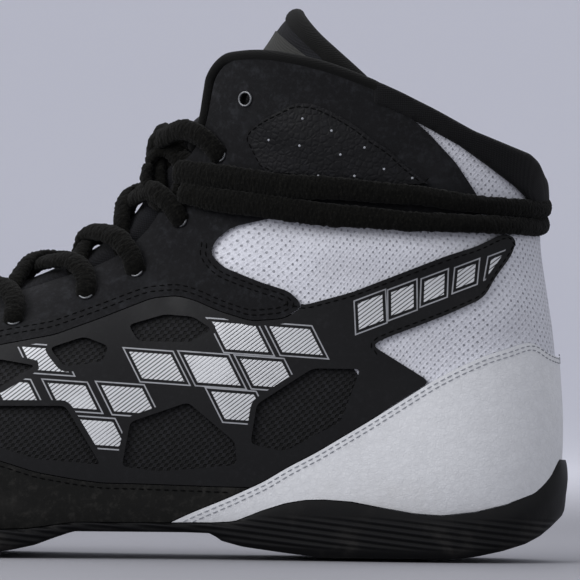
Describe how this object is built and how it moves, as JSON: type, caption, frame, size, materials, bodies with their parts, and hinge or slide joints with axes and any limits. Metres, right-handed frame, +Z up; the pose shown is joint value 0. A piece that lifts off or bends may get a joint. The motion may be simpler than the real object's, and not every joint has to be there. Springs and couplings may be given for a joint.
{
  "type": "wrestling shoe",
  "caption": "High-top wrestling shoe, left, black and white, with split rubber sole, padded collar and laces tied round the ankle",
  "frame": {"origin": "on the floor, under the middle of the flat part of the heel", "axes": "+X to the toe, +Y to the outer side of the foot, +Z up"},
  "size_m": [0.2848, 0.0974, 0.1617],
  "materials": {
    "rubber_black": "satin moulded rubber",
    "lining_black": "brushed textile",
    "knit_white": "white knit at the ankle, black mesh at the foot",
    "padding_black": "padded textile",
    "leather_white": "grained, with a double grey seam",
    "suede_black": "napped",
    "nubuck_black": "matt nubuck",
    "film_black": "satin film with silver hatching",
    "leather_black": "pebbled",
    "binding_black": "rolled tape",
    "eyelet_metal": "small punched rings",
    "lace_black": "fuzzy flat braid"
  },
  "bodies": {
    "root": {"outsole": "rubber_black", "insole": "lining_black", "upper": "knit_white", "collar": "padding_black", "heel_counter": "leather_white", "mudguard": "suede_black", "eyestay": "nubuck_black", "tongue": "padding_black", "side_band_lateral": "film_black", "ankle_panel_lateral": "leather_black", "flap_binding_lateral": "binding_black", "side_band_medial": "film_black", "ankle_panel_medial": "leather_black", "flap_binding_medial": "binding_black", "eyelet_lateral_1": "eyelet_metal", "eyelet_lateral_2": "eyelet_metal", "eyelet_lateral_3": "eyelet_metal", "eyelet_lateral_4": "eyelet_metal", "eyelet_lateral_5": "eyelet_metal", "eyelet_lateral_6": "eyelet_metal", "eyelet_lateral_7": "eyelet_metal", "eyelet_lateral_8": "eyelet_metal", "eyelet_medial_1": "eyelet_metal", "eyelet_medial_2": "eyelet_metal", "eyelet_medial_3": "eyelet_metal", "eyelet_medial_4": "eyelet_metal", "eyelet_medial_5": "eyelet_metal", "eyelet_medial_6": "eyelet_metal", "eyelet_medial_7": "eyelet_metal", "eyelet_medial_8": "eyelet_metal", "lace_bar": "lace_black", "lace_crossing_1": "lace_black", "lace_crossing_2": "lace_black", "lace_crossing_3": "lace_black", "lace_crossing_4": "lace_black", "lace_crossing_5": "lace_black", "lace_crossing_6": "lace_black", "lace_wrap_upper": "lace_black", "lace_wrap_lower": "lace_black", "lace_knot": "lace_black", "lace_end_lateral": "lace_black", "lace_end_medial": "lace_black"}
  },
  "joints": []
}
